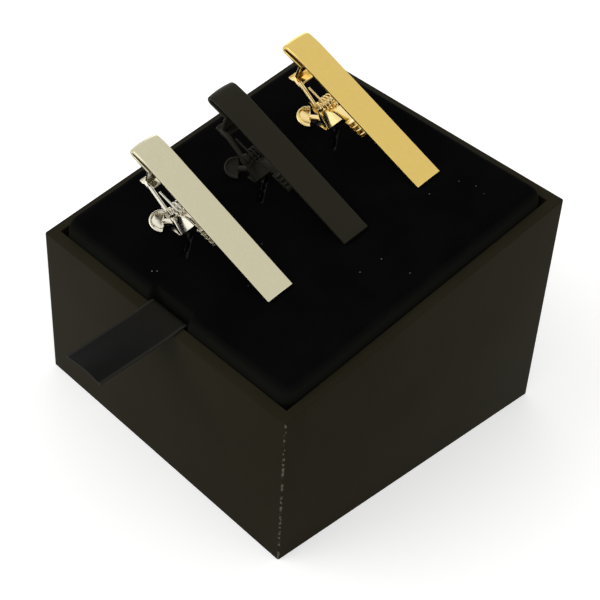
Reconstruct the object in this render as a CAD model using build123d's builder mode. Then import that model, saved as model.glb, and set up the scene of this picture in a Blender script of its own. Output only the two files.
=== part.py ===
"""Tie pin box: a slant-cut gift box with a lift-out velvet pad that holds three tie bars.

Millimetres. The origin is at the middle of the base, +Y runs to the high back wall, +Z is up.
The rim lies on a slope that rises from the front wall to the back wall. The pad and the
clips are placed on that slope: x across, s up the slope, h square to it.
"""
import os
from math import atan2, cos, degrees, hypot, pi, radians, sin, sqrt, tan

from build123d import *

os.makedirs("parts", exist_ok=True)

# Box
box_size = 76.0
front_height = 37.5
back_height = 54.4
board_thickness = 2.0
paper_thickness = 0.2
turn_in_depth = 12.0

# Lift-out insert
insert_clearance = 0.3
pad_rise = 3.1
pad_edge_radius = 2.9
pad_corner_radius = 3.2
pad_depth = 9.0
velvet_thickness = 0.6
card_thickness = 1.0

# Ribbon pull
ribbon_width = 10.8
ribbon_thickness = 0.35
ribbon_overhang = 18.0
ribbon_droop = 2.4
ribbon_bend_radius = 1.0
ribbon_tail = 16.0
ribbon_rim_reach = 1.5
notch_clearance = 0.6
notch_depth = 2.2
notch_drop = 5.0
tape_size = (18.0, 12.0)
tape_thickness = 0.15
touch_gap = 0.05

# Tie bars and their clips
bar_length = 42.5
bar_width = 6.5
bar_thickness = 0.9
bar_edge_radius = 0.3
bar_pitch = 26.0
bar_end_x = 15.9
clip_row_shares = {"silver": -0.2526, "black": 0.0211, "gold": 0.2974}
fold_length = 5.5
base_width = 6.0
base_sheet = 0.7
flange_sheet = 0.5
pivot_from_fold = 13.4
pivot_rise = 4.807333
strap_foot = 2.4
strap_lean = 0.7
lip_reach = (1.5, -0.8)
flange_height = 2.2
pin_radius = 0.55
pin_head_radius = 0.95
pin_head_height = 0.3
ear_radius = 1.7
fit_clearance = 0.1

# Levers: a toothed jaw, a deep cup around the pivot and a dished thumb paddle
lever_sheet = 0.6
jaw_tip_from_end = 11.1
jaw_width = 4.4
jaw_drop = 1.0
jaw_angle = -3.0
jaw_opening = 10.0
tooth_count = 5
tooth_pitch = 1.3
tooth_height = 0.45
cup_front = 3.2
cup_foot = 1.6
cup_back = -1.2
cup_depth = 5.2
neck_width = 2.0
paddle_place = (-6.6, -3.2)
paddle_radius = 2.7
paddle_rim = 0.35
pocket_clearance = 0.35
swing_room = 1.7
cup_room = 0.8

# Springs
spring_wire = 0.45
spring_radius = 1.25
spring_pitch = 0.87
spring_full_turns = 3
spring_start_angle = 17.5
spring_end_angle = 53.0
spring_legs = (2.6, 4.6)

# Slits that the cups are pushed into, cut through the velvet into the foam
slit_length = 11.4
slit_width = 1.0
slit_angle = -51.0
slit_offset = (-10.4, -1.9)
slit_depth = 3.6

# Values that follow from the sizes above
half = box_size / 2
slope = atan2(back_height - front_height, box_size)
mid_height = (front_height + back_height) / 2
board_half = half - paper_thickness
inner_half = board_half - board_thickness
clear_half = inner_half - paper_thickness
insert_half = clear_half - insert_clearance
floor_top = paper_thickness + board_thickness
liner_top = floor_top + paper_thickness
notch_half = ribbon_width / 2 + notch_clearance
notch_back = -insert_half + notch_depth
foam_half = insert_half - velvet_thickness
pivot_from_end = bar_length - pivot_from_fold
jaw_length = pivot_from_end - jaw_tip_from_end
bar_end_rise = pad_rise + touch_gap + bar_thickness * cos(radians(bar_pitch))
pivot_drop = (
    bar_end_rise - pad_rise - pivot_rise + pivot_from_end * sin(radians(bar_pitch))
) / cos(radians(bar_pitch))
strap_drop = pivot_drop - strap_foot
clip_rows = {finish: share * box_size for finish, share in clip_row_shares.items()}
along = Vector(1, 0, 0)
uphill = Vector(0, cos(slope), sin(slope))
out = Vector(0, -sin(slope), cos(slope))


def rim(y, h=0.0):
    """Height of the rim slope at y, or of the plane h above it."""
    return mid_height + y * tan(slope) + h / cos(slope)


def wedge(y_half, low, h):
    """Side view of a block that ends h above the rim slope."""
    return [(-y_half, low), (y_half, low), (y_half, rim(y_half, h)), (-y_half, rim(-y_half, h))]


def on_slope(x, s, h):
    return Vector(0, 0, mid_height) + along * x + uphill * s + out * h


def export(part, name, color):
    part.label = name
    part.color = Color(*color)
    export_step(part, f"parts/{name}.step")


black_paper = (0.10, 0.09, 0.07)
greyboard = (0.45, 0.42, 0.36)
black_velvet = (0.02, 0.02, 0.02)
dark_foam = (0.08, 0.08, 0.08)
card = (0.12, 0.12, 0.12)
finish_color = {"silver": (0.80, 0.78, 0.70), "black": (0.08, 0.08, 0.08), "gold": (0.85, 0.70, 0.38)}

# Box boards
with BuildPart() as floor_board:
    with Locations((0, 0, paper_thickness)):
        Box(2 * inner_half, 2 * inner_half, board_thickness, align=(Align.CENTER, Align.CENTER, Align.MIN))
export(floor_board.part, "floor_board", greyboard)

for name, near, far in (
    ("front_board", -board_half, -inner_half),
    ("back_board", inner_half, board_half),
):
    with BuildPart() as end_board:
        with BuildSketch(Plane.YZ):
            Polygon(
                (near, paper_thickness), (far, paper_thickness),
                (far, rim(far, -paper_thickness)), (near, rim(near, -paper_thickness)), align=None,
            )
        extrude(amount=board_half, both=True)
    export(end_board.part, name, greyboard)

for name, side in (("left_board", -1), ("right_board", 1)):
    with BuildPart() as side_board:
        with BuildSketch(Plane.YZ.offset(side * (inner_half + board_half) / 2)):
            Polygon(*wedge(inner_half, paper_thickness, -paper_thickness), align=None)
        extrude(amount=board_thickness / 2, both=True)
    export(side_board.part, name, greyboard)

# Covering papers
with BuildPart() as outer_wrap:
    with BuildSketch(Plane.YZ):
        Polygon(*wedge(half, 0, 0), align=None)
    extrude(amount=half, both=True)
    with BuildSketch(Plane.YZ):
        Polygon(*wedge(board_half, 0, -paper_thickness), align=None)
    extrude(amount=board_half, both=True, mode=Mode.SUBTRACT)
    with BuildSketch(Plane.YZ):
        Polygon(*wedge(inner_half, rim(-inner_half, -turn_in_depth), -paper_thickness), align=None)
    extrude(amount=inner_half, both=True)
    with BuildSketch(Plane.YZ):
        Polygon(*wedge(clear_half, 0, 1), align=None)
    extrude(amount=clear_half, both=True, mode=Mode.SUBTRACT)
export(outer_wrap.part, "outer_wrap", black_paper)

with BuildPart() as bottom_paper:
    Box(2 * board_half, 2 * board_half, paper_thickness, align=(Align.CENTER, Align.CENTER, Align.MIN))
export(bottom_paper.part, "bottom_paper", black_paper)

with BuildPart() as floor_liner:
    with Locations((0, 0, floor_top)):
        Box(2 * clear_half, 2 * clear_half, paper_thickness, align=(Align.CENTER, Align.CENTER, Align.MIN))
export(floor_liner.part, "floor_liner", black_paper)

# Card platform: a sloped top on four skirts, open below
with BuildPart() as platform_card:
    with BuildSketch(Plane.YZ):
        Polygon(*wedge(insert_half, liner_top, -pad_depth), align=None)
    extrude(amount=insert_half, both=True)
    with BuildSketch(Plane.YZ):
        Polygon(*wedge(insert_half - card_thickness, liner_top, -pad_depth - card_thickness), align=None)
    extrude(amount=insert_half - card_thickness, both=True, mode=Mode.SUBTRACT)
    with BuildSketch(Plane.YZ):
        Polygon(
            (-insert_half, rim(-insert_half, -pad_depth - notch_drop)), (notch_back, rim(notch_back, -pad_depth - notch_drop)),
            (notch_back, rim(notch_back, 1)), (-insert_half, rim(-insert_half, 1)), align=None,
        )
    extrude(amount=notch_half, both=True, mode=Mode.SUBTRACT)
export(platform_card.part, "platform_card", card)

# Clip frames: u runs from the bar's low end to its folded end, n is square to the bar
pitch = radians(bar_pitch)
bar_dir = along * -cos(pitch) + out * sin(pitch)
bar_normal = along * sin(pitch) + out * cos(pitch)
end_rise = pad_rise + touch_gap + bar_thickness * cos(pitch)
jaw = radians(jaw_angle)
jaw_dir = along * cos(jaw) - out * sin(jaw)


def bar_plane(s):
    return Plane(origin=on_slope(bar_end_x, s, end_rise), x_dir=bar_dir, z_dir=uphill)


def pivot_point(s):
    return bar_plane(s).from_local_coords(Vector(pivot_from_end, -pivot_drop, 0))


def lever_plane(s):
    return Plane(origin=pivot_point(s), x_dir=jaw_dir, z_dir=-uphill)


pocket_half = jaw_width / 2 + 0.2 + pocket_clearance
pocket_foot = -cup_depth - lever_sheet - pocket_clearance - 0.2
pocket_back = paddle_place[0] + paddle_radius - 0.9
pocket_outline = [
    (pocket_back, 0.5 - cup_depth + 0.7), (pocket_back, 0.3 - cup_depth),
    (cup_back - swing_room, pocket_foot), (cup_foot + cup_room, pocket_foot),
    (cup_foot + cup_room, 0.5 - cup_depth + 0.7),
]


def cut_pockets():
    """Shallow pockets for the levers' cups and the slits through them, cut from the current part."""
    for s in clip_rows.values():
        with BuildSketch(lever_plane(s)) as pocket:
            Polygon(*pocket_outline, align=None)
        extrude(pocket.sketch, amount=pocket_half, both=True, mode=Mode.SUBTRACT)
        slit_place = on_slope(slit_offset[0], s + slit_offset[1], pad_rise - slit_depth)
        with BuildSketch(Plane(origin=slit_place, x_dir=along, z_dir=out)) as slit:
            SlotOverall(slit_length, slit_width, rotation=slit_angle)
        extrude(slit.sketch, amount=2 * slit_depth, mode=Mode.SUBTRACT)


def pad_block(side, low, top, corner, edge):
    """A block with vertical sides, a sloped foot at low and a rounded top at the height top."""
    with BuildPart() as block:
        with BuildSketch(Plane.YZ):
            Polygon(
                (-side, rim(-side, low)), (side, rim(side, low)),
                (side, rim(side, top)), (-side, rim(-side, top)), align=None,
            )
        extrude(amount=side, both=True)
        fillet(block.edges().filter_by(Axis.Z), radius=corner)
        fillet(block.faces().sort_by(Axis.Z)[-1].edges(), radius=edge)
    return block.part


def cut_ribbon_notch(margin):
    """The ribbon's notch in the front edge of the current part, wider by a margin."""
    with BuildSketch(Plane.XY) as notch:
        with Locations((0, -insert_half)):
            Rectangle(2 * (notch_half + margin), 2 * (notch_depth + margin))
    extrude(notch.sketch, amount=2 * back_height, mode=Mode.SUBTRACT)


foam_top = pad_rise - velvet_thickness
foam_corner = pad_corner_radius - velvet_thickness
foam_edge = pad_edge_radius - velvet_thickness

with BuildPart() as foam_pad:
    add(pad_block(foam_half, -pad_depth, foam_top, foam_corner, foam_edge))
    cut_pockets()
    cut_ribbon_notch(velvet_thickness)
export(foam_pad.part, "foam_pad", dark_foam)

with BuildPart() as velvet_cover:
    add(pad_block(insert_half, -pad_depth, pad_rise, pad_corner_radius, pad_edge_radius))
    with BuildPart(mode=Mode.SUBTRACT):
        add(pad_block(foam_half, -pad_depth - 1, foam_top, foam_corner, foam_edge))
        cut_ribbon_notch(velvet_thickness)
    cut_ribbon_notch(0)
    cut_pockets()
export(velvet_cover.part, "velvet_cover", black_velvet)

# Ribbon pull: up through the notch, over the front rim, out and down
ribbon_y = -insert_half + notch_depth / 2
under_card = -pad_depth - card_thickness - touch_gap - ribbon_thickness / 2
over_rim = touch_gap + ribbon_thickness / 2
past_rim = -half - ribbon_rim_reach
with BuildPart() as ribbon_pull:
    with BuildSketch(Plane.YZ):
        with BuildLine():
            FilletPolyline(
                (ribbon_y + ribbon_tail, rim(ribbon_y + ribbon_tail, under_card)),
                (ribbon_y, rim(ribbon_y, under_card)),
                (ribbon_y, rim(ribbon_y, over_rim)),
                (past_rim, rim(past_rim, over_rim)),
                (-half - ribbon_overhang, rim(-half, over_rim) - ribbon_droop),
                radius=ribbon_bend_radius,
            )
        trace(line_width=ribbon_thickness)
    extrude(amount=ribbon_width / 2, both=True)
export(ribbon_pull.part, "ribbon_pull", black_velvet)

tape_y = ribbon_y + ribbon_tail - tape_size[1] / 2
tape_top = under_card - ribbon_thickness / 2
with BuildPart() as ribbon_anchor_tape:
    with BuildSketch(Plane(origin=(0, tape_y, rim(tape_y, tape_top)), x_dir=along, z_dir=-out)):
        RectangleRounded(*tape_size, radius=1)
    extrude(amount=tape_thickness)
export(ribbon_anchor_tape.part, "ribbon_anchor_tape", black_paper)

# Clip parts, the same for each finish
fold_radius = bar_thickness + base_sheet / 2
flange_in = base_width / 2 - flange_sheet
ear_in = flange_in - fit_clearance - flange_sheet
strap_u = bar_length - fold_length - 0.8
base_mid = -bar_thickness - base_sheet / 2
corner = (strap_u + strap_lean, base_mid - strap_drop)
first_turn = spring_start_angle / 360
last_turn = spring_full_turns + spring_end_angle / 360
quarter_turns = round(4 * (last_turn - first_turn))


def biarc(p0, t0, p1, t1):
    """Point where two arcs meet that leave p0 along t0 and reach p1 along t1."""
    v, t = p1 - p0, t0 + t1
    k = 2 * (1 - t0.dot(t1))
    d = (-v.dot(t) + sqrt(v.dot(t) ** 2 + k * v.dot(v))) / k
    return (p0 + t0 * d + p1 - t1 * d) * 0.5


def biarc_heading(start, heading, end):
    """Direction at the end of an arc that leaves start along heading: its mirror in the chord."""
    chord = (end - start).normalized()
    return chord * (2 * heading.dot(chord)) - heading


def coil_point(turn):
    """Place and direction on the spring at a number of turns from the jaw's direction."""
    angle = 2 * pi * turn
    rise = spring_pitch / (2 * pi)
    height = spring_pitch * (turn - (first_turn + last_turn) / 2)
    place = Vector(spring_radius * cos(angle), spring_radius * sin(angle), height)
    heading = Vector(-spring_radius * sin(angle), spring_radius * cos(angle), rise)
    return place, heading.normalized()


def least_coil_gap():
    """Least clear distance between parts of the wire at least half a turn apart."""
    steps = 24
    count = round((last_turn - first_turn) * steps)
    points = [coil_point(first_turn + i / steps)[0] for i in range(count + 1)]
    pairs = [
        (p - q).length for i, p in enumerate(points) for q in points[i + steps // 2:]
    ]
    return min(pairs) - spring_wire


print(f"least gap between spring turns: {least_coil_gap():.2f} mm")

with BuildPart() as coil:
    with BuildLine() as wire_path:
        start, heading = coil_point(first_turn)
        Line(start - heading * spring_legs[0], start)
        for i in range(quarter_turns):
            step = (last_turn - first_turn) / quarter_turns
            p0, t0 = coil_point(first_turn + i * step)
            p1, t1 = coil_point(first_turn + (i + 1) * step)
            joint = biarc(p0, t0, p1, t1)
            TangentArc(p0, joint, tangent=t0)
            TangentArc(joint, p1, tangent=biarc_heading(p0, t0, joint))
        end, end_heading = coil_point(last_turn)
        Line(end, end + end_heading * spring_legs[1])
    with BuildSketch(Plane(origin=start - heading * spring_legs[0], z_dir=heading)):
        Circle(spring_wire / 2)
    sweep(path=wire_path.wires()[0])

for finish, row in clip_rows.items():
    frame = bar_plane(row)
    lever_frame = lever_plane(row)
    metal = finish_color[finish]

    with BuildPart() as bar:
        with BuildSketch(frame):
            with BuildLine():
                Polyline(
                    (bar_length - fold_radius, -bar_thickness), (0, -bar_thickness),
                    (0, 0), (bar_length - fold_radius, 0),
                )
                ThreePointArc(
                    (bar_length - fold_radius, 0), (bar_length, -fold_radius),
                    (bar_length - fold_radius, -2 * fold_radius),
                )
                Polyline(
                    (bar_length - fold_radius, -2 * fold_radius),
                    (bar_length - fold_length, -2 * fold_radius),
                    (bar_length - fold_length, -2 * fold_radius + bar_thickness),
                    (bar_length - fold_radius, -2 * fold_radius + bar_thickness),
                )
                ThreePointArc(
                    (bar_length - fold_radius, -2 * fold_radius + bar_thickness),
                    (bar_length - bar_thickness, -fold_radius),
                    (bar_length - fold_radius, -bar_thickness),
                )
            make_face()
        extrude(amount=bar_width / 2, both=True)
        top = bar.faces().sort_by(lambda f: (f.center() - frame.origin).dot(bar_normal))[-1]
        long_edges = top.edges().filter_by(lambda e: e.length > bar_length / 2)
        fillet(long_edges, radius=bar_edge_radius)
    export(bar.part, f"{finish}_bar", metal)

    web_dir = Vector(corner[0] - pivot_from_end, corner[1] + pivot_drop).normalized()
    web_up = Vector(-web_dir.Y, web_dir.X)
    pivot_at = Vector(pivot_from_end, -pivot_drop)
    with BuildPart() as clip_base:
        with BuildSketch(frame):
            with BuildLine():
                Polyline(
                    (bar_length - fold_radius, base_mid), (strap_u, base_mid), corner,
                    tuple(pivot_at + web_dir * 2.5)[:2],
                )
            trace(line_width=base_sheet)
            with BuildLine():
                Line(corner, (corner[0] + lip_reach[0], corner[1] + lip_reach[1]))
            trace(line_width=base_sheet)
        extrude(amount=base_width / 2, both=True)
        for side in (-1, 1):
            with BuildSketch(frame.offset(side * (flange_in + flange_sheet / 2))):
                low, high = pivot_at - web_up * ear_radius, pivot_at + web_up * ear_radius
                Polygon(
                    (low.X, low.Y), (corner[0], corner[1] - base_sheet / 2),
                    (corner[0] - strap_lean / 3, corner[1] + flange_height), (high.X, high.Y), align=None,
                )
                with Locations((pivot_from_end, -pivot_drop)):
                    Circle(ear_radius)
            extrude(amount=flange_sheet / 2, both=True)
        with BuildSketch(frame):
            with Locations((pivot_from_end, -pivot_drop)):
                Circle(pin_radius)
        extrude(amount=base_width, both=True, mode=Mode.SUBTRACT)
    export(clip_base.part, f"{finish}_clip_base", metal)

    with BuildPart() as pivot_pin:
        with BuildSketch(lever_frame):
            Circle(pin_radius)
        extrude(amount=base_width / 2, both=True)
        for side in (-1, 1):
            with BuildSketch(lever_frame.offset(side * (base_width + pin_head_height) / 2)):
                Circle(pin_head_radius)
            extrude(amount=pin_head_height / 2, both=True)
    export(pivot_pin.part, f"{finish}_pivot_pin", metal)

    with BuildPart() as lever:
        with BuildSketch(lever_frame):
            with BuildLine():
                Polyline(
                    (jaw_length, -jaw_drop), (cup_front, -jaw_drop),
                    (cup_foot, -cup_depth), (cup_back, -cup_depth),
                )
            trace(line_width=lever_sheet)
            tooth_top = -jaw_drop + lever_sheet / 2 - 0.02
            for i in range(tooth_count):
                tip = jaw_length - i * tooth_pitch
                Polygon((tip, tooth_top), (tip - tooth_pitch, tooth_top), (tip, tooth_top + tooth_height), align=None)
        extrude(amount=jaw_width / 2, both=True)
        with BuildSketch(lever_frame):
            with BuildLine():
                Polyline((cup_back + lever_sheet, -cup_depth), (cup_back, -cup_depth), paddle_place)
            trace(line_width=lever_sheet)
        extrude(amount=neck_width / 2, both=True)
        for side in (-1, 1):
            with BuildSketch(lever_frame.offset(side * (ear_in + flange_sheet / 2))):
                Polygon(
                    (ear_radius - 0.2, 0), (cup_front, 0.3 - jaw_drop),
                    (cup_foot + 0.3, -cup_depth - lever_sheet / 2),
                    (cup_back - 0.2, -cup_depth - lever_sheet / 2), (0.2 - ear_radius, 0), align=None,
                )
                Circle(ear_radius - 0.2)
                Circle(pin_radius + 0.05, mode=Mode.SUBTRACT)
            extrude(amount=flange_sheet / 2, both=True)
        neck = atan2(paddle_place[1] + cup_depth, paddle_place[0] - cup_back)
        paddle_dir = lever_frame.x_dir * cos(neck) + lever_frame.y_dir * sin(neck)
        paddle_up = lever_frame.x_dir * sin(neck) - lever_frame.y_dir * cos(neck)
        paddle_at = lever_frame.from_local_coords(Vector(*paddle_place, 0))
        paddle_frame = Plane(origin=paddle_at, x_dir=paddle_dir, z_dir=paddle_up)
        with BuildSketch(paddle_frame.offset(-lever_sheet / 2)):
            Circle(paddle_radius)
        extrude(amount=lever_sheet)
        with BuildSketch(paddle_frame.offset(lever_sheet / 2)):
            Circle(paddle_radius)
            Circle(paddle_radius - 0.5, mode=Mode.SUBTRACT)
        extrude(amount=paddle_rim)
    export(lever.part, f"{finish}_lever", metal)

    with BuildPart() as spring:
        with Locations(lever_frame):
            add(coil.part)
    export(spring.part, f"{finish}_spring", metal)
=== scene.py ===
"""Dresses the tie pin box: papered walls, velvet pad, satin ribbon pull and three plated tie bars."""
from math import atan2, cos, pi, radians, sin, tan

import bmesh
import bpy
from mathutils import Matrix, Vector


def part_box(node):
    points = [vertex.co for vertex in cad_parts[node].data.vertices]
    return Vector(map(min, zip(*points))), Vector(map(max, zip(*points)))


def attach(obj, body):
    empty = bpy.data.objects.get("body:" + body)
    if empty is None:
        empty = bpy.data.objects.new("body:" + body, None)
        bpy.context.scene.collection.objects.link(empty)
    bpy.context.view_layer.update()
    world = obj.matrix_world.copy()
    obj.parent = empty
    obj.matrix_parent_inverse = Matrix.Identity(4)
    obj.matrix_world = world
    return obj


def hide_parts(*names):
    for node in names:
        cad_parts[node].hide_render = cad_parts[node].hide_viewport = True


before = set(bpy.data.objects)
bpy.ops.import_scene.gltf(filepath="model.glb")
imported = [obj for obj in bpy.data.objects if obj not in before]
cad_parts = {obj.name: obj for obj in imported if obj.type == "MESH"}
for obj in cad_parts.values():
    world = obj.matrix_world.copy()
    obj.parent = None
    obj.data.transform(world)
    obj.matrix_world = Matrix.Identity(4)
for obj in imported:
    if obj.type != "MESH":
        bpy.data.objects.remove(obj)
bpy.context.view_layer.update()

MM = 0.001

# Box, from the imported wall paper's own size
wrap_low, wrap_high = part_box("outer_wrap")
BOX_HALF = (wrap_high[0] - wrap_low[0]) / 2
BACK_HEIGHT = wrap_high[2]
FRONT_HEIGHT = 37.5 * MM
PAPER = 0.2 * MM
BOARD = 2.0 * MM
TURN_IN = 12 * MM
PAPER_ROUND = 0.35 * MM
SLOPE = atan2(BACK_HEIGHT - FRONT_HEIGHT, 2 * BOX_HALF)
MID_HEIGHT = (FRONT_HEIGHT + BACK_HEIGHT) / 2
UPHILL = Vector((0, cos(SLOPE), sin(SLOPE)))
OUT = Vector((0, -sin(SLOPE), cos(SLOPE)))
ALONG = Vector((1, 0, 0))

# Pad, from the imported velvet's own size
PAD_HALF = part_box("velvet_cover")[1][0]
PAD_RISE = 3.1 * MM
PAD_DEPTH = 9.0 * MM
PAD_CORNER = 3.2 * MM
PAD_EDGE = 2.9 * MM
PAD_VOXEL = 0.42 * MM

# Ribbon pull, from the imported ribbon's own size
ribbon_low, ribbon_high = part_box("ribbon_pull")
RIBBON_WIDTH = ribbon_high[0] - ribbon_low[0]
RIBBON_THICKNESS = 0.3 * MM
RIBBON_Y = -PAD_HALF + 1.1 * MM
RIBBON_TAIL = 16 * MM
RIBBON_BEND = 1.0 * MM
RIBBON_UNDER = 1.23 * MM
RIBBON_OVER = 0.23 * MM
RIBBON_RIM_REACH = 1.5 * MM
RIBBON_END_DROP = 2.4 * MM
RIBBON_RIPPLE = 0.35 * MM
RIBBON_ROWS = 130
RIBBON_COLUMNS = 16
NOTCH_HALF = RIBBON_WIDTH / 2 + 0.6 * MM
NOTCH_DEPTH = 2.2 * MM

# Tie bars and clips
BAR_LENGTH = 42.5 * MM
BAR_WIDTH = 6.5 * MM
BAR_THICKNESS = 0.9 * MM
BAR_CROWN = 0.22 * MM
BAR_PITCH = radians(26)
BAR_END_X = 15.9 * MM
BAR_REST_GAP = 0.05 * MM
FOLD_TAIL = 4.6 * MM
FOLD_RADIUS = 1.4 * MM
FOLD_STEPS = 12
NOSE_START = 40.7 * MM
NOSE_STRETCH = 1.3
NOSE_NARROWING = 0.04
DROOP_START = 36.5 * MM
DROOP = 0.028 / MM
CLIP_ROWS = {"silver": -19.2 * MM, "black": 1.6 * MM, "gold": 22.6 * MM}
PIVOT_FROM_END = 29.1 * MM
PIVOT_DROP = 9.8 * MM
JAW_ANGLE = radians(-3)
JAW_WIDTH = 4.4 * MM

# Clip shapes, in millimetres from the lever's pivot; the strap's path is in the bar's own axes
STRAP_PATH = ((40.0, -3.42), (36.9, -3.1), (36.9, -9.55))
STRAP_FOOT = (-4.7, 3.9)
STRAP_HALF = 2.6
RAIL_THICKNESS = 0.55
RAIL_STARTS = (-2.9, 2.35)
RAIL_OUTLINE = ((-7.0, 3.4), (-6.7, 4.9), (-4.4, 4.6), (-0.9, 0.9))
ROLLED_EDGE = 2.65
ROLLED_RADIUS = 0.45
CUP_PATH = ((1.1, -0.9), (0.0, -1.8), (2.25, -4.8), (1.9, -5.7), (-0.6, -5.7))
CUP_HALF = 2.45
HEEL_PATH = ((0.2, -5.7), (-0.8, -5.7), (-2.0, -4.6))
HEEL_HALF = 1.2
JAW_PATH = ((1.1, -1.1), (3.4, -0.2), (7.8, -0.8))
JAW_HALF = 1.1
TIP_PATH = ((7.4, -0.7), (12.4, -2.1))
TIP_HALF = 1.7
TOOTH_COUNT = 4
TOOTH_START = (12.3, -2.1)
TOOTH_STEP = (-1.15, 0.322)
TOOTH_SHAPE = ((0.0, 0.0), (0.05, 0.85), (-1.05, 0.55), (-1.05, 0.2))
EAR_THICKNESS = 0.4
EAR_STARTS = (-2.3, 1.85)
PADDLE_RADIUS = 2.7
PADDLE_TILT = 20
PADDLE_PLACE = (-2.9, -3.2, -3.95)
PADDLE_SEGMENTS = 36
NECK_START = (-1.2, -0.6, -4.9)
NECK_HALF = 0.7

# Pockets and slits in the pad
POCKET_HALF = JAW_WIDTH / 2 + 0.55 * MM
POCKET_OUTLINE = ((-4.8, -4.0), (-4.8, -4.9), (-2.9, -6.35), (2.5, -6.35), (2.5, -4.0))
SLIT_LENGTH = 11.4 * MM
SLIT_WIDTH = 1.0 * MM
SLIT_DEPTH = 3.6 * MM
SLIT_ANGLE = radians(-51)
SLIT_OFFSET = (-10.4 * MM, -1.9 * MM)

# Specks of lint on the pad: x, place up the slope and radius in millimetres
LINT = (
    (-8.9, -32.2, 0.16), (-8.1, -31.5, 0.14), (24.0, 27.8, 0.12), (23.8, 0.6, 0.13), (23.1, -4.7, 0.12),
    (18.3, 20.0, 0.12), (30.7, 1.6, 0.11), (20.4, 26.6, 0.1), (26.8, 27.2, 0.1), (2.5, -12.4, 0.1),
    (9.0, -21.9, 0.09),
)

# Camera and the point that the lights are aimed at
CAMERA_PLACE = (179.36, -176.69, 231.84)
CAMERA_TURN = (50.308, -2.667, 47.394)
CAMERA_LENS = 90.08
LIGHT_AIM = (0, 0, 0.03)


def rim_height(y, h=0.0):
    """The height of a point h above the rim plane at y."""
    return MID_HEIGHT + y * tan(SLOPE) + h / cos(SLOPE)


def on_slope(x, s, h):
    """A point x across the rim plane, s up its slope and h above it."""
    return Vector((0, 0, MID_HEIGHT)) + ALONG * x + UPHILL * s + OUT * h


def slit_place(row):
    return on_slope(SLIT_OFFSET[0], row + SLIT_OFFSET[1], PAD_RISE)


# Modelling helpers

def pick(obj):
    bpy.ops.object.select_all(action="DESELECT")
    obj.select_set(True)
    bpy.context.view_layer.objects.active = obj


def settle(obj):
    """Moves the object's place into its mesh."""
    pick(obj)
    bpy.ops.object.transform_apply(location=True, rotation=True, scale=True)


def apply_all(obj):
    pick(obj)
    for modifier in list(obj.modifiers):
        bpy.ops.object.modifier_apply(modifier=modifier.name)


def block(name, low, high):
    low, high = Vector(low), Vector(high)
    bpy.ops.object.select_all(action="DESELECT")
    bpy.ops.mesh.primitive_cube_add(size=1, location=(low + high) / 2)
    obj = bpy.context.object
    obj.name = name
    obj.scale = high - low
    settle(obj)
    return obj


def cut_above(obj, point, normal):
    """Cuts away what lies beyond a plane and closes the cut."""
    pick(obj)
    bpy.ops.object.mode_set(mode="EDIT")
    bpy.ops.mesh.select_all(action="SELECT")
    bpy.ops.mesh.bisect(plane_co=point, plane_no=normal, use_fill=True, clear_outer=True)
    bpy.ops.object.mode_set(mode="OBJECT")


def combine(obj, other, operation):
    modifier = obj.modifiers.new(operation.lower(), "BOOLEAN")
    modifier.operation = operation
    modifier.solver = "EXACT"
    modifier.object = other
    apply_all(obj)
    bpy.data.objects.remove(other)


def select_edges(obj, chosen):
    """Leaves selected the edges that chosen(edge ends) picks, with the mesh open for editing."""
    bpy.ops.mesh.select_mode(type="EDGE")
    bpy.ops.mesh.select_all(action="DESELECT")
    mesh = bmesh.from_edit_mesh(obj.data)
    for edge in mesh.edges:
        edge.select_set(chosen(edge.verts[0].co, edge.verts[1].co))
    bmesh.update_edit_mesh(obj.data)


def bevel_edges(obj, width, segments, chosen):
    """Rounds the edges that chosen(edge ends) picks."""
    pick(obj)
    bpy.ops.object.mode_set(mode="EDIT")
    select_edges(obj, chosen)
    bpy.ops.mesh.bevel(offset=width, segments=segments, affect="EDGES")
    bpy.ops.object.mode_set(mode="OBJECT")


def smooth(obj, angle=35):
    pick(obj)
    bpy.ops.object.shade_smooth_by_angle(angle=radians(angle))


def round_edges(obj, width, segments, angle):
    """Rounds every edge sharper than an angle in degrees, and applies it."""
    edges = obj.modifiers.new("edges", "BEVEL")
    edges.width = width
    edges.segments = segments
    edges.limit_method = "ANGLE"
    edges.angle_limit = radians(angle)
    apply_all(obj)


def face_outwards(obj):
    pick(obj)
    bpy.ops.object.mode_set(mode="EDIT")
    bpy.ops.mesh.select_all(action="SELECT")
    bpy.ops.mesh.normals_make_consistent(inside=False)
    bpy.ops.object.mode_set(mode="OBJECT")


def linked_mesh(name, points, faces):
    """A new closed object from points and faces, with its faces turned outwards."""
    mesh = bpy.data.meshes.new(name)
    mesh.from_pydata(points, [], faces)
    obj = bpy.data.objects.new(name, mesh)
    bpy.context.collection.objects.link(obj)
    face_outwards(obj)
    return obj


def placed_copy(master, name, matrix):
    piece = master.copy()
    piece.data = master.data.copy()
    piece.name = name
    bpy.context.collection.objects.link(piece)
    piece.data.transform(matrix)
    smooth(piece, 40)
    return piece


def wedge(name, half, low, rise):
    """A square block whose top lies parallel to the rim, rise above it."""
    obj = block(name, (-half, -half, low), (half, half, BACK_HEIGHT + 20 * MM))
    cut_above(obj, on_slope(0, 0, rise), OUT)
    return obj


def above_slope(point):
    return (point - on_slope(0, 0, 0)).dot(OUT)


def dress(obj, body, material, *nodes):
    obj.data.materials.clear()
    obj.data.materials.append(material)
    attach(obj, body)
    if nodes:
        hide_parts(*nodes)


# Materials

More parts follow.
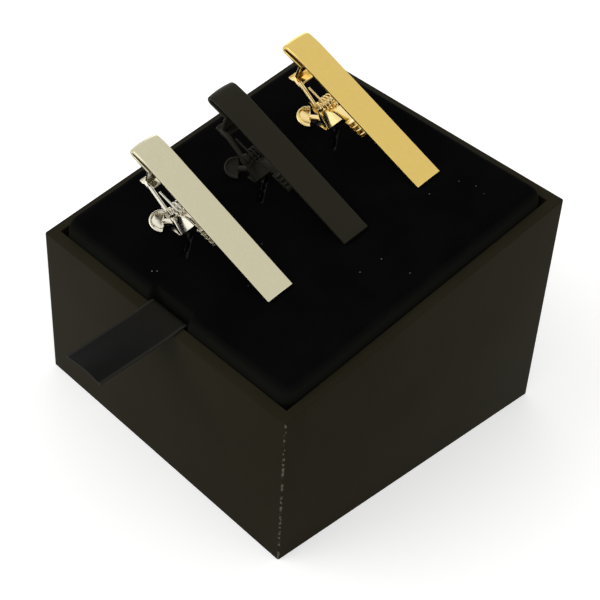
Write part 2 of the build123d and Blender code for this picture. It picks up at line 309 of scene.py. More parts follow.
class Surface:
    """A material being wired up, with short calls for the nodes that this object needs."""

    def __init__(self, name, color, roughness, **sockets):
        self.material = bpy.data.materials.new(name)
        self.material.use_nodes = True
        self.tree = self.material.node_tree
        self.shader = self.tree.nodes["Principled BSDF"]
        self.shader.inputs["Base Color"].default_value = (*color, 1)
        self.shader.inputs["Roughness"].default_value = roughness
        for socket, value in sockets.items():
            self.shader.inputs[socket.replace("_", " ")].default_value = value

    def add(self, kind, **settings):
        node = self.tree.nodes.new(kind)
        for key, value in settings.items():
            if hasattr(node, key):
                setattr(node, key, value)
            else:
                node.inputs[key].default_value = value
        return node

    def link(self, start, end):
        self.tree.links.new(start, end)

    def place(self, scale=(1, 1, 1), turn=(0, 0, 0), source="Object"):
        coords = self.add("ShaderNodeTexCoord")
        mapping = self.add("ShaderNodeMapping")
        mapping.inputs["Scale"].default_value = scale
        mapping.inputs["Rotation"].default_value = turn
        self.link(coords.outputs[source], mapping.inputs["Vector"])
        return mapping.outputs["Vector"]

    def noise(self, vector, scale, detail=3.0, rough=0.55):
        node = self.add("ShaderNodeTexNoise", Scale=scale, Detail=detail, Roughness=rough)
        self.link(vector, node.inputs["Vector"])
        return node.outputs["Fac"]

    def ramp(self, value, *stops):
        node = self.add("ShaderNodeValToRGB")
        node.color_ramp.elements[0].position = stops[0][0]
        node.color_ramp.elements[1].position = stops[-1][0]
        for place, _ in stops[1:-1]:
            node.color_ramp.elements.new(place)
        for element, (_, color) in zip(node.color_ramp.elements, stops):
            element.color = (*color, 1) if isinstance(color, tuple) else (color, color, color, 1)
        self.link(value, node.inputs["Fac"])
        return node.outputs["Color"]

    def bump(self, height, distance, strength=1.0, onto=None):
        node = self.add("ShaderNodeBump", Strength=strength, Distance=distance)
        self.link(height, node.inputs["Height"])
        if onto is not None:
            self.link(onto, node.inputs["Normal"])
        self.link(node.outputs["Normal"], self.shader.inputs["Normal"])
        return node.outputs["Normal"]

    def mix(self, factor, first, second):
        node = self.add("ShaderNodeMix", data_type="RGBA")
        self.link(factor, node.inputs["Factor"])
        for socket, value in ((node.inputs[6], first), (node.inputs[7], second)):
            if isinstance(value, tuple):
                socket.default_value = (*value, 1)
            else:
                self.link(value, socket)
        return node.outputs[2]

    def math(self, operation, first, second=0.0):
        node = self.add("ShaderNodeMath", operation=operation)
        for socket, value in zip(node.inputs, (first, second)):
            if isinstance(value, (int, float)):
                socket.default_value = value
            else:
                self.link(value, socket)
        return node.outputs[0]


def covering_paper():
    """Uncoated black paper with fine fibres, rubbed pale along the standing corners."""
    s = Surface("covering_paper", (0.018, 0.015, 0.008), 0.6, Specular_IOR_Level=0.03)
    place = s.place()
    fibres = s.noise(place, 900, 4, 0.65)
    clouds = s.noise(place, 60, 3)
    tone = s.mix(s.ramp(clouds, (0.3, 0.0), (0.7, 1.0)), (0.0165, 0.0138, 0.0072), (0.0200, 0.0168, 0.0090))
    split = s.add("ShaderNodeSeparateXYZ")
    s.link(place, split.inputs[0])
    away_x = s.math("SUBTRACT", BOX_HALF, s.math("ABSOLUTE", split.outputs["X"]))
    away_y = s.math("SUBTRACT", BOX_HALF, s.math("ABSOLUTE", split.outputs["Y"]))
    away = s.math("MAXIMUM", away_x, away_y)
    near = s.math("LESS_THAN", away, 0.32 * MM)
    rubs = s.ramp(s.noise(place, 1300, 2), (0.50, 0.0), (0.60, 1.0))
    worn = s.math("MULTIPLY", near, rubs)
    s.link(s.mix(worn, tone, (0.13, 0.12, 0.095)), s.shader.inputs["Base Color"])
    s.bump(fibres, 0.03 * MM, 0.35)
    return s.material


def grey_board():
    s = Surface("grey_board", (0.30, 0.28, 0.24), 0.9)
    place = s.place()
    flecks = s.noise(place, 1400, 4, 0.7)
    tone = s.ramp(flecks, (0.3, (0.20, 0.19, 0.16)), (0.7, (0.36, 0.34, 0.29)))
    s.link(tone, s.shader.inputs["Base Color"])
    s.bump(flecks, 0.05 * MM, 0.4)
    return s.material


def black_card():
    s = Surface("black_card", (0.03, 0.03, 0.028), 0.7)
    fibres = s.noise(s.place(), 1100, 4, 0.6)
    s.link(s.ramp(fibres, (0.3, 0.022), (0.75, 0.04)), s.shader.inputs["Base Color"])
    s.bump(fibres, 0.03 * MM, 0.3)
    return s.material


def open_foam():
    s = Surface("open_foam", (0.03, 0.03, 0.03), 0.95)
    cells = s.add("ShaderNodeTexVoronoi", Scale=1600)
    s.link(s.place(), cells.inputs["Vector"])
    s.link(s.ramp(cells.outputs["Distance"], (0.1, 0.012), (0.6, 0.05)), s.shader.inputs["Base Color"])
    s.bump(cells.outputs["Distance"], 0.2 * MM, 0.6)
    return s.material


def slit_lips(s, place):
    """Marks a thin band beside the open half of each slit, which the velvet makes lighter."""
    marks = 0.0
    for row in CLIP_ROWS.values():
        middle = slit_place(row)
        run = ALONG * cos(SLIT_ANGLE) + UPHILL * sin(SLIT_ANGLE)
        side = ALONG * -sin(SLIT_ANGLE) + UPHILL * cos(SLIT_ANGLE)
        reach = s.add("ShaderNodeVectorMath", operation="DOT_PRODUCT")
        spread = s.add("ShaderNodeVectorMath", operation="DOT_PRODUCT")
        for node, axis in ((reach, run), (spread, side)):
            s.link(place, node.inputs[0])
            node.inputs[1].default_value = axis
        along_slit = s.math("SUBTRACT", reach.outputs["Value"], middle.dot(run) + 2.6 * MM)
        beside = s.math("SUBTRACT", spread.outputs["Value"], middle.dot(side) + 0.5 * MM)
        near = s.math("LESS_THAN", s.math("ABSOLUTE", beside), 0.24 * MM)
        within = s.math("LESS_THAN", s.math("ABSOLUTE", along_slit), 3.2 * MM)
        marks = s.math("MAXIMUM", s.math("MULTIPLY", near, within), marks)
    return marks


def black_velvet():
    """Short black pile that greys at a grazing view, with a painted sheen lighter along its rolled edge and
    a few specks of lint.
    """
    s = Surface("black_velvet", (0.003, 0.003, 0.003), 0.9, Specular_IOR_Level=0.0,
                Sheen_Weight=0.03, Sheen_Roughness=0.3)
    s.shader.inputs["Sheen Tint"].default_value = (0.75, 0.78, 0.72, 1)
    place = s.place()
    pile = s.noise(place, 2600, 3, 0.7)
    nap = s.noise(place, 75, 3)
    tone = s.mix(s.ramp(nap, (0.35, 0.0), (0.7, 1.0)), (0.0026, 0.0026, 0.0029), (0.0038, 0.0038, 0.0039))
    lint = s.add("ShaderNodeTexVoronoi", Scale=230)
    s.link(place, lint.inputs["Vector"])
    patch = s.ramp(s.noise(place, 55, 2), (0.60, 0.0), (0.66, 1.0))
    dots = s.ramp(lint.outputs["Distance"], (0.035, 1.0), (0.055, 0.0))
    specks = s.math("MULTIPLY", dots, patch)
    # Painted sheen: the pile is made lighter where the pad rolls down below its crest, along its edges.
    height = s.add("ShaderNodeVectorMath", operation="DOT_PRODUCT")
    s.link(place, height.inputs[0])
    height.inputs[1].default_value = OUT
    crest = on_slope(0, 0, PAD_RISE).dot(OUT)
    below = s.math("DIVIDE", s.math("SUBTRACT", crest, height.outputs["Value"]), PAD_EDGE)
    ragged = s.math("ADD", below, s.math("MULTIPLY", s.noise(place, 400, 3), 0.12))
    rolled = s.ramp(ragged, (0.16, 0.0), (0.62, 1.0))
    tone = s.mix(rolled, tone, (0.0085, 0.0092, 0.0070))
    tone = s.mix(slit_lips(s, place), tone, (0.020, 0.020, 0.021))
    for spot in LINT:
        away = s.add("ShaderNodeVectorMath", operation="DISTANCE")
        s.link(place, away.inputs[0])
        away.inputs[1].default_value = on_slope(spot[0] * MM, spot[1] * MM, PAD_RISE)
        specks = s.math("MAXIMUM", specks, s.math("LESS_THAN", away.outputs["Value"], spot[2] * MM))
    s.link(s.mix(specks, tone, (0.16, 0.15, 0.14)), s.shader.inputs["Base Color"])
    s.bump(pile, 0.12 * MM, 0.7)
    return s.material


def satin_ribbon():
    """Black satin with fine cross ribs, a stitched selvedge and painted shade on its outer part, on the
    ribbon's own UV map.
    """
    s = Surface("satin_ribbon", (0.008, 0.0075, 0.006), 0.42, Specular_IOR_Level=0.03)
    across = s.place(source="UV")
    ribs = s.add("ShaderNodeTexWave", wave_type="BANDS", bands_direction="Y", Scale=95.0, Distortion=0.6)
    s.link(across, ribs.inputs["Vector"])
    threads = s.noise(s.place((160, 14, 1), source="UV"), 4, 3)
    split = s.add("ShaderNodeSeparateXYZ")
    s.link(across, split.inputs[0])
    edge = s.math("ABSOLUTE", s.math("SUBTRACT", split.outputs["X"], 0.5))
    selvedge = s.math("GREATER_THAN", edge, 0.45)
    stitches = s.add("ShaderNodeTexWave", wave_type="BANDS", bands_direction="Y", Scale=42.0)
    s.link(across, stitches.inputs["Vector"])
    dots = s.math("MULTIPLY", selvedge, s.ramp(stitches.outputs["Fac"], (0.55, 0.0), (0.75, 1.0)))
    tone = s.ramp(threads, (0.3, (0.0075, 0.0072, 0.0056)), (0.75, (0.0125, 0.012, 0.0092)))
    # Painted shade: the outer part of the ribbon, past its bend over the rim, is made darker.
    outer = s.ramp(split.outputs["Y"], (0.60, 0.0), (0.82, 1.0))
    tone = s.mix(outer, tone, (0.0058, 0.0058, 0.0056))
    s.link(s.mix(dots, tone, (0.040, 0.039, 0.034)), s.shader.inputs["Base Color"])
    s.bump(ribs.outputs["Fac"], 0.04 * MM, 0.5)
    return s.material


def plated_metal(name, color, roughness, metallic=1.0, brush=0.04):
    """Plated metal with fine brushing along the bar and a little uneven polish."""
    s = Surface(name, color, roughness, Metallic=metallic)
    if metallic < 0.5:
        s.shader.inputs["Specular IOR Level"].default_value = 0.06
    brushing = s.noise(s.place((40, 2600, 2600)), 1.0, 3)
    cloud = s.noise(s.place(), 240, 3)
    low, high = roughness - 0.05, roughness + 0.07
    s.link(s.ramp(cloud, (0.3, low), (0.75, high)), s.shader.inputs["Roughness"])
    pale = tuple(min(1.0, c * 1.06) for c in color)
    deep = tuple(c * 0.93 for c in color)
    s.link(s.mix(brushing, deep, pale), s.shader.inputs["Base Color"])
    s.bump(brushing, 0.01 * MM, brush)
    return s.material


PAPER_MAT = covering_paper()
BOARD_MAT = grey_board()
CARD_MAT = black_card()
FOAM_MAT = open_foam()
VELVET_MAT = black_velvet()
RIBBON_MAT = satin_ribbon()
METALS = {
    "silver": plated_metal("silver_plate", (0.58, 0.54, 0.38), 0.24),
    "black": plated_metal("black_plate", (0.0205, 0.0185, 0.0115), 0.42, metallic=0.0),
    "gold": plated_metal("gold_plate", (0.70, 0.51, 0.15), 0.25),
}
# Clip parts: each plating again, with lower roughness for polish and a lighter base colour than the bar's, a
# painted highlight.
POLISH_AND_HIGHLIGHT = {
    "silver": plated_metal("silver_polish_highlight", (0.82, 0.78, 0.66), 0.14, brush=0.0),
    "black": plated_metal("black_polish_highlight", (0.026, 0.024, 0.018), 0.3, metallic=0.0, brush=0.0),
    "gold": plated_metal("gold_polish_highlight", (0.92, 0.73, 0.34), 0.14, brush=0.0),
}
WIRES = {
    "silver": plated_metal("spring_steel", (0.78, 0.75, 0.66), 0.2),
    "black": plated_metal("black_steel", (0.022, 0.021, 0.017), 0.4, metallic=0.0),
    "gold": plated_metal("gold_wire", (0.88, 0.70, 0.34), 0.2),
}


# Papered walls

def paper_wrap():
    """One sheet of paper: the outer walls, over the rim and a turn-in down the inside."""
    wrap = wedge("paper_wrap", BOX_HALF, 0, 0)
    bevel_edges(wrap, PAPER_ROUND, 3, lambda a, b: max(a.z, b.z) > 1 * MM)
    boards = wedge("boards", BOX_HALF - PAPER, -1 * MM, -PAPER)
    combine(wrap, boards, "DIFFERENCE")
    turn_in = wedge("turn_in", BOX_HALF - PAPER - BOARD, FRONT_HEIGHT - TURN_IN, -PAPER / 2)
    combine(wrap, turn_in, "UNION")
    inside = block("inside", (-1, -1, -1), (1, 1, 1))
    inside.scale = (BOX_HALF - 2 * PAPER - BOARD, BOX_HALF - 2 * PAPER - BOARD, 1)
    settle(inside)
    combine(wrap, inside, "DIFFERENCE")
    smooth(wrap, 40)
    dress(wrap, "box", PAPER_MAT, "outer_wrap")


# Velvet pad

def slope_matrix(place, x_axis, z_axis):
    y_axis = z_axis.cross(x_axis)
    turned = Matrix((x_axis, y_axis, z_axis)).transposed().to_4x4()
    return Matrix.Translation(place) @ turned


def bar_matrix(row):
    """Local x runs from the bar's low end to its fold, y across it and z out of its top."""
    x_axis = ALONG * -cos(BAR_PITCH) + OUT * sin(BAR_PITCH)
    z_axis = ALONG * sin(BAR_PITCH) + OUT * cos(BAR_PITCH)
    end_rise = PAD_RISE + BAR_REST_GAP + BAR_THICKNESS * cos(BAR_PITCH)
    return slope_matrix(on_slope(BAR_END_X, row, end_rise), x_axis, z_axis)


def pivot_place(row):
    return bar_matrix(row) @ Vector((PIVOT_FROM_END, 0, -PIVOT_DROP))


def jaw_matrix(row):
    """At the lever's pivot, local x runs down the jaw and z is square to it."""
    x_axis = ALONG * cos(JAW_ANGLE) - OUT * sin(JAW_ANGLE)
    z_axis = ALONG * sin(JAW_ANGLE) + OUT * cos(JAW_ANGLE)
    return slope_matrix(pivot_place(row), x_axis, z_axis)


def prism(name, outline, near, far):
    """A closed outline in local x and z, drawn out along y from near to far."""
    n = len(outline)
    points = [(x, near, z) for x, z in outline] + [(x, far, z) for x, z in outline]
    faces = [tuple(range(n)), tuple(range(2 * n - 1, n - 1, -1))]
    for i in range(n):
        k = (i + 1) % n
        faces.append((k, i, i + n, k + n))
    return linked_mesh(name, points, faces)


def cup_pocket(row):
    """The hollow that a lever's cup is pushed into, as a solid to cut from the pad."""
    outline = [(x * MM, z * MM) for x, z in POCKET_OUTLINE]
    pocket = prism("pocket", outline, -POCKET_HALF, POCKET_HALF)
    pocket.data.transform(jaw_matrix(row))
    return pocket


def pad_slit(row):
    """The short slanting cut that shows beside a clip."""
    low = (-SLIT_LENGTH / 2, -SLIT_WIDTH / 2, -SLIT_DEPTH)
    slit = block("slit", low, (SLIT_LENGTH / 2, SLIT_WIDTH / 2, 3 * MM))
    turn = Matrix.Rotation(SLIT_ANGLE, 4, "Z")
    slit.data.transform(slope_matrix(slit_place(row), ALONG, OUT) @ turn)
    return slit


def velvet_pad():
    """A foam-filled velvet pad with soft edges, its ribbon notch and the clips' slits."""
    pad = wedge("velvet_pad", PAD_HALF, 0, PAD_RISE)
    cut_above(pad, on_slope(0, 0, -PAD_DEPTH), -OUT)
    bevel_edges(pad, PAD_CORNER, 6, lambda a, b: abs(a.x - b.x) + abs(a.y - b.y) < 0.01 * MM)
    bevel_edges(pad, PAD_EDGE, 6, lambda a, b: min(above_slope(a), above_slope(b)) > PAD_RISE - 0.01 * MM)
    notch = block("notch", (-NOTCH_HALF, -2 * BOX_HALF, 0), (NOTCH_HALF, -PAD_HALF + NOTCH_DEPTH, 1))
    combine(pad, notch, "DIFFERENCE")
    for row in CLIP_ROWS.values():
        combine(pad, cup_pocket(row), "DIFFERENCE")
        combine(pad, pad_slit(row), "DIFFERENCE")
    remesh = pad.modifiers.new("remesh", "REMESH")
    remesh.mode = "VOXEL"
    remesh.voxel_size = PAD_VOXEL
    soften = pad.modifiers.new("soften", "SMOOTH")
    soften.factor = 0.5
    soften.iterations = 2
    unevenness = bpy.data.textures.new("unevenness", "CLOUDS")
    unevenness.noise_scale = 0.012
    sag = pad.modifiers.new("sag", "DISPLACE")
    sag.texture = unevenness
    sag.texture_coords = "LOCAL"
    sag.strength = 0.22 * MM
    sag.mid_level = 0.5
    apply_all(pad)
    pick(pad)
    bpy.ops.object.shade_smooth()
    dress(pad, "insert", VELVET_MAT, "velvet_cover")


# Ribbon pull

def rounded_route(corners, radius):
    """Points along straight runs joined by arcs."""
    points = [corners[0]]
    for before, corner, after in zip(corners, corners[1:], corners[2:]):
        back, ahead = (before - corner).normalized(), (after - corner).normalized()
        half_turn = back.angle(ahead) / 2
        reach = min(radius / tan(half_turn), 0.45 * (before - corner).length, 0.45 * (after - corner).length)
        middle = corner + (back + ahead).normalized() * (reach / cos(half_turn))
        first, last = corner + back * reach - middle, corner + ahead * reach - middle
        steps = 8
        for i in range(steps + 1):
            spoke = first.normalized().slerp(last.normalized(), i / steps)
            points.append(middle + spoke * first.length)
    points.append(corners[-1])
    return points


def ribbon_pull():
    """A folded satin tab: up through the notch, over the front rim and out in front."""
    under = -PAD_DEPTH - RIBBON_UNDER
    tail_y = RIBBON_Y + RIBBON_TAIL
    edge_y = -BOX_HALF - RIBBON_RIM_REACH
    corners = [
        Vector((0, tail_y, rim_height(tail_y, under))),
        Vector((0, RIBBON_Y, rim_height(RIBBON_Y, under))),
        Vector((0, RIBBON_Y, rim_height(RIBBON_Y, RIBBON_OVER))),
        Vector((0, edge_y, rim_height(edge_y, RIBBON_OVER))),
        Vector((0, ribbon_low[1], rim_height(-BOX_HALF, RIBBON_OVER) - RIBBON_END_DROP)),
    ]
    route = rounded_route(corners, RIBBON_BEND)
    lengths = [0.0]
    for p, q in zip(route, route[1:]):
        lengths.append(lengths[-1] + (q - p).length)
    total = lengths[-1]
    bpy.ops.object.select_all(action="DESELECT")
    bpy.ops.mesh.primitive_grid_add(x_subdivisions=RIBBON_COLUMNS, y_subdivisions=RIBBON_ROWS, size=1)
    ribbon = bpy.context.object
    ribbon.name = "satin_pull"
    for vertex in ribbon.data.vertices:
        along = (vertex.co.y + 0.5) * total
        k = max(i for i in range(len(route) - 1) if lengths[i] <= along + 1e-9)
        part = (along - lengths[k]) / max(lengths[k + 1] - lengths[k], 1e-9)
        spot = route[k].lerp(route[k + 1], min(part, 1.0))
        free = max(0.0, (-BOX_HALF - spot.y) / (18 * MM))
        ripple = RIBBON_RIPPLE * free * sin(5.0 * vertex.co.x + 1.2)
        vertex.co = Vector((vertex.co.x * RIBBON_WIDTH, spot.y, spot.z + ripple))
    cloth = ribbon.modifiers.new("cloth", "SOLIDIFY")
    cloth.thickness = RIBBON_THICKNESS
    cloth.offset = 0
    apply_all(ribbon)
    smooth(ribbon, 50)
    dress(ribbon, "insert", RIBBON_MAT, "ribbon_pull")


# Tie bars

def bar_blank():
    """A crowned strip whose end is bent under on itself, in the bar's own axes."""
    bar = block("bar_blank", (0, -BAR_WIDTH / 2, -BAR_THICKNESS), (NOSE_START, BAR_WIDTH / 2, 0))
    pick(bar)
    bpy.ops.object.mode_set(mode="EDIT")
    select_edges(bar, lambda a, b: abs(a.y - b.y) > BAR_WIDTH / 2)
    bpy.ops.mesh.subdivide(number_cuts=7)
    select_edges(bar, lambda a, b: abs(a.x - b.x) > BAR_LENGTH / 2)
    bpy.ops.mesh.subdivide(number_cuts=27)
    bpy.ops.mesh.select_all(action="DESELECT")
    mesh = bmesh.from_edit_mesh(bar.data)
    for vertex in mesh.verts:
        if vertex.co.z > -BAR_THICKNESS / 2:
            across = vertex.co.y / (BAR_WIDTH / 2)
            vertex.co.z += BAR_CROWN * (1 - across * across) - BAR_CROWN
    for face in mesh.faces:
        face.select_set(all(v.co.x > NOSE_START - 0.01 * MM for v in face.verts))
    bmesh.update_edit_mesh(bar.data)
    bpy.ops.mesh.spin(steps=FOLD_STEPS, angle=-pi, center=(NOSE_START, 0, -FOLD_RADIUS), axis=(0, 1, 0))
    bpy.ops.mesh.extrude_region_move(TRANSFORM_OT_translate={"value": (-FOLD_TAIL, 0, 0)})
    bpy.ops.object.mode_set(mode="OBJECT")
    for vertex in bar.data.vertices:
        beyond = max(0.0, (vertex.co.x - NOSE_START) / FOLD_RADIUS)
        vertex.co.x += beyond * FOLD_RADIUS * (NOSE_STRETCH - 1)
        vertex.co.y *= 1 - NOSE_NARROWING * beyond ** 2
        vertex.co.z -= DROOP * max(0.0, vertex.co.x - DROOP_START) ** 2
    round_edges(bar, 0.18 * MM, 3, 50)
    return bar


def tie_bars():
    blank = bar_blank()
    for finish, row in CLIP_ROWS.items():
        bar = placed_copy(blank, f"{finish}_tie_bar", bar_matrix(row))
        dress(bar, f"{finish}_clip", METALS[finish], f"{finish}_bar")
    bpy.data.objects.remove(blank)


# Clips

def strip_outline(path, thickness):
    """The closed outline of a sheet bent along a path of (x, z) points."""
    left, right = [], []
    for i, (x, z) in enumerate(path):
        runs = []
        if i > 0:
            runs.append(Vector((x - path[i - 1][0], z - path[i - 1][1])).normalized())
        if i < len(path) - 1:
            runs.append(Vector((path[i + 1][0] - x, path[i + 1][1] - z)).normalized())
        normal = sum((Vector((-run.y, run.x)) for run in runs), Vector((0, 0))).normalized()
        stretch = thickness / 2 / max(0.4, normal.dot(Vector((-runs[0].y, runs[0].x))))
        left.append((x + normal.x * stretch, z + normal.y * stretch))
        right.append((x - normal.x * stretch, z - normal.y * stretch))
    return left + right[::-1]


def bent_sheet(name, path, thickness, near, far):
    outline = strip_outline([(x * MM, z * MM) for x, z in path], thickness * MM)
    return prism(name, outline, near * MM, far * MM)


def side_plate(name, outline, near, far):
    return prism(name, [(x * MM, z * MM) for x, z in outline], near * MM, far * MM)


def arc(radius, start, end, steps=10):
    turns = [radians(start + (end - start) * i / steps) for i in range(steps + 1)]
    return [(radius * cos(a), radius * sin(a)) for a in turns]


def unite(pieces):
    bpy.ops.object.select_all(action="DESELECT")
    for piece in pieces:
        piece.select_set(True)
    bpy.context.view_layer.objects.active = pieces[0]
    bpy.ops.object.join()
    return pieces[0]


def clip_matrix(row):
    """At the lever's pivot, local x runs across the box and z out of the pad."""
    return slope_matrix(pivot_place(row), ALONG, OUT)


def from_bar(u, v):
    """A place in the bar's own axes, in millimetres from the pivot in the clip's axes."""
    du, dv = u - PIVOT_FROM_END / MM, v + PIVOT_DROP / MM
    return (dv * sin(BAR_PITCH) - du * cos(BAR_PITCH), du * sin(BAR_PITCH) + dv * cos(BAR_PITCH))


def rod(start, end, radius):
    """A round rod between two points of the clip."""
    start, end = Vector(start) * MM, Vector(end) * MM
    bpy.ops.object.select_all(action="DESELECT")
    bpy.ops.mesh.primitive_cylinder_add(vertices=20, radius=radius * MM, depth=(end - start).length)
    obj = bpy.context.object
    obj.location = (start + end) / 2
    obj.rotation_euler = (end - start).to_track_quat("Z", "Y").to_euler()
    settle(obj)
    return obj


def clasp_base():
    """A strap bent down from the fold, flared at its lip, with two rails that carry the pin."""
    top = [from_bar(*STRAP_PATH[0]), from_bar(*STRAP_PATH[1])]
    corner = from_bar(*STRAP_PATH[2])
    strap = bent_sheet("strap", top + [corner, STRAP_FOOT], 0.6, -STRAP_HALF, STRAP_HALF)
    x, z = corner
    lip = bent_sheet("lip", [corner, (x - 0.9, z - 0.1), (x - 1.6, z + 0.35)], 0.5, -STRAP_HALF, STRAP_HALF)
    outline = list(RAIL_OUTLINE) + arc(1.15, 100, -150) + [(-5.0, 3.0)]
    rails = [side_plate("rail", outline, y, y + RAIL_THICKNESS) for y in RAIL_STARTS]
    rolled = [rod((-4.9, y, 4.6), (1.1, y, -1.35), ROLLED_RADIUS) for y in (-ROLLED_EDGE, ROLLED_EDGE)]
    return unite([strap, lip] + rails + rolled)


def dished_paddle():
    """A round thumb paddle with a raised rim, in its own axes."""
    r = PADDLE_RADIUS
    profile = [(0, -0.32), (0.6 * r, -0.28), (0.92 * r, -0.08), (r, 0.2), (r, 0.55), (r - 0.18, 0.68),
               (r - 0.42, 0.55), (r - 0.55, 0.22), (0.55 * r, 0.04), (0, 0.0)]
    segments = PADDLE_SEGMENTS
    points = []
    for radius, height in profile[1:-1]:
        for k in range(segments):
            turn = 2 * pi * k / segments
            points.append((radius * cos(turn) * MM, radius * sin(turn) * MM, height * MM))
    rings = len(profile) - 2
    faces = []
    for ring in range(rings - 1):
        for k in range(segments):
            after = (k + 1) % segments
            a, b = ring * segments, (ring + 1) * segments
            faces.append((a + k, a + after, b + after, b + k))
    points += [(0, 0, profile[0][1] * MM), (0, 0, profile[-1][1] * MM)]
    foot, cap = len(points) - 2, len(points) - 1
    last = (rings - 1) * segments
    for k in range(segments):
        after = (k + 1) % segments
        faces.append((foot, after, k))
        faces.append((cap, last + k, last + after))
    obj = linked_mesh("paddle", points, faces)
    tilt = radians(PADDLE_TILT)
    x_axis, z_axis = Vector((-cos(tilt), 0, sin(tilt))), Vector((sin(tilt), 0, cos(tilt)))
    obj.data.transform(slope_matrix(Vector(PADDLE_PLACE) * MM, x_axis, z_axis))
    return obj


def neck(start, end, half_width, thickness):
    """A narrow link between two points of the lever."""
    start, end = Vector(start), Vector(end)
    run = (end - start).normalized()
    side = run.cross(Vector((0, 0, 1))).normalized()
    lift = side.cross(run)
    points = []
    for spot in (start, end):
        for a, b in ((-1, -1), (1, -1), (1, 1), (-1, 1)):
            points.append((spot + side * a * half_width + lift * b * thickness / 2) * MM)
    faces = [(3, 2, 1, 0), (4, 5, 6, 7), (0, 1, 5, 4), (1, 2, 6, 5), (2, 3, 7, 6), (3, 0, 4, 7)]
    return linked_mesh("neck", points, faces)


def toothed_lever():
    """A jaw with teeth under the bar, a cup in the pad's pocket and a dished paddle beside it."""
    front = bent_sheet("cup_front", CUP_PATH, 0.5, -CUP_HALF, CUP_HALF)
    heel = bent_sheet("heel", HEEL_PATH, 0.55, -HEEL_HALF, HEEL_HALF)
    jaw = bent_sheet("jaw", JAW_PATH, 0.55, -JAW_HALF, JAW_HALF)
    tip = bent_sheet("tip", TIP_PATH, 0.6, -TIP_HALF, TIP_HALF)
    teeth = []
    for i in range(TOOTH_COUNT):
        x, z = TOOTH_START[0] + TOOTH_STEP[0] * i, TOOTH_START[1] + TOOTH_STEP[1] * i
        outline = [(x + across, z + up) for across, up in TOOTH_SHAPE]
        teeth.append(side_plate("tooth", outline, -TIP_HALF, TIP_HALF))
    outline = [(1.7, -5.3), (0.1, -2.0), (1.0, -0.6)] + arc(1.1, -10, 200) + [(-0.7, -2.4), (0.4, -5.3)]
    ears = [side_plate("ear", outline, y, y + EAR_THICKNESS) for y in EAR_STARTS]
    neck_end = Vector(PADDLE_PLACE) + Vector((-0.1, 0.1, -0.05))
    link = neck(NECK_START, neck_end, NECK_HALF, 0.5)
    paddle = dished_paddle()
    cut_above(paddle, (Vector(PADDLE_PLACE) + Vector((0.3, 0.3, 0))) * MM, Vector((0.71, 0.71, 0)))
    return unite([front, heel, jaw, tip] + teeth + ears + [link, paddle])


def clips():
    masters = (
        (clasp_base(), "clasp", "clip", "clip_base"),
        (toothed_lever(), "toothed_lever", "lever", "lever"),
    )
    for master, title, body, node in masters:
        round_edges(master, 0.09 * MM, 2, 40)
        for finish, row in CLIP_ROWS.items():
            piece = placed_copy(master, f"{finish}_{title}", clip_matrix(row))
            dress(piece, f"{finish}_{body}", POLISH_AND_HIGHLIGHT[finish], f"{finish}_{node}")
        bpy.data.objects.remove(master)


def paint_frame():
    """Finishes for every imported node, also those that another piece stands for."""
    finishes = {"platform_card": CARD_MAT, "foam_pad": FOAM_MAT, "ribbon_anchor_tape": CARD_MAT}
    for board in ("floor_board", "front_board", "back_board", "left_board", "right_board"):
        finishes[board] = BOARD_MAT
    for sheet in ("bottom_paper", "floor_liner", "outer_wrap"):
        finishes[sheet] = PAPER_MAT
    finishes["velvet_cover"] = VELVET_MAT
    finishes["ribbon_pull"] = RIBBON_MAT
    for finish in CLIP_ROWS:
        for part in ("bar", "clip_base", "lever"):
            finishes[f"{finish}_{part}"] = METALS[finish]
        for part in ("pivot_pin", "spring"):
            finishes[f"{finish}_{part}"] = WIRES[finish]
    for node, material in finishes.items():
        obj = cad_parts[node]
        obj.data.materials.clear()
        obj.data.materials.append(material)


# Floor, light and camera

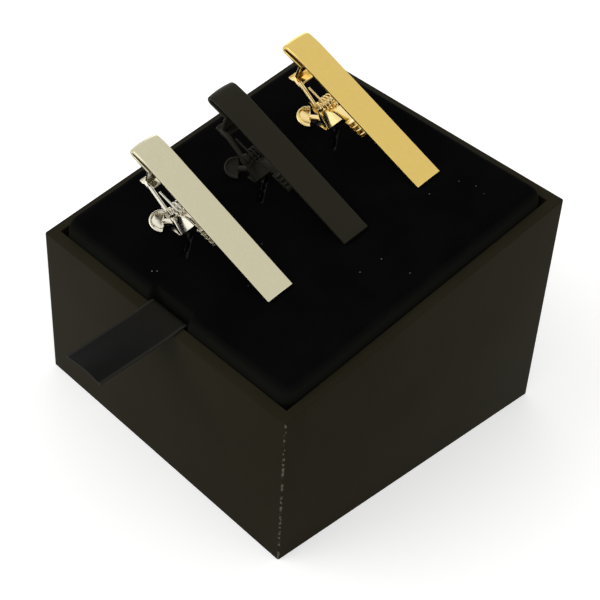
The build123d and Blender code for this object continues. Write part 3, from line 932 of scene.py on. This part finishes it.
def studio():
    bpy.ops.object.select_all(action="DESELECT")
    bpy.ops.mesh.primitive_plane_add(size=6, location=(0, 0, -0.05 * MM))
    floor = bpy.context.object
    floor.name = "pale_floor"
    s = Surface("pale_floor", (0.86, 0.86, 0.85), 0.8, Specular_IOR_Level=0.1)
    s.shader.inputs["Emission Color"].default_value = (1, 1, 1, 1)
    rays = s.add("ShaderNodeLightPath")
    seen = s.math("MAXIMUM", rays.outputs["Is Camera Ray"], rays.outputs["Is Glossy Ray"])
    s.link(s.math("MULTIPLY", seen, 0.45), s.shader.inputs["Emission Strength"])
    floor.data.materials.append(s.material)

    world = bpy.data.worlds.new("studio")
    world.use_nodes = True
    bpy.context.scene.world = world
    tree = world.node_tree
    sky = tree.nodes["Background"]
    sky.inputs["Color"].default_value = (1.0, 1.0, 1.0, 1)
    rays = tree.nodes.new("ShaderNodeLightPath")
    seen = tree.nodes.new("ShaderNodeMath")
    seen.operation = "MAXIMUM"
    tree.links.new(rays.outputs["Is Camera Ray"], seen.inputs[0])
    tree.links.new(rays.outputs["Is Glossy Ray"], seen.inputs[1])
    level = tree.nodes.new("ShaderNodeMapRange")
    level.inputs["To Min"].default_value = 0.6
    level.inputs["To Max"].default_value = 1.0
    tree.links.new(seen.outputs[0], level.inputs["Value"])
    tree.links.new(level.outputs["Result"], sky.inputs["Strength"])

    for name, place, size, power in (
        ("key", (-0.5, -0.75, 0.8), 0.9, 4.0),
        ("back_left", (-0.85, 0.6, 0.22), 0.5, 0.8),
        ("right_fill", (0.9, 0.1, 0.5), 1.0, 0.8),
    ):
        light = bpy.data.lights.new(name, "AREA")
        light.energy = power
        light.size = size
        lamp = bpy.data.objects.new(name, light)
        bpy.context.collection.objects.link(lamp)
        lamp.location = place
        aim = Vector(LIGHT_AIM) - Vector(place)
        lamp.rotation_euler = aim.to_track_quat("-Z", "Y").to_euler()


def camera():
    lens = bpy.data.cameras.new("camera")
    lens.lens = CAMERA_LENS
    lens.sensor_width = 36
    eye = bpy.data.objects.new("camera", lens)
    bpy.context.collection.objects.link(eye)
    eye.location = Vector(CAMERA_PLACE) * MM
    eye.rotation_euler = [radians(turn) for turn in CAMERA_TURN]
    bpy.context.scene.camera = eye


camera()
paint_frame()
paper_wrap()
velvet_pad()
ribbon_pull()
tie_bars()
clips()
studio()

bpy.context.scene.view_settings.view_transform = "Standard"
bpy.context.view_layer.update()
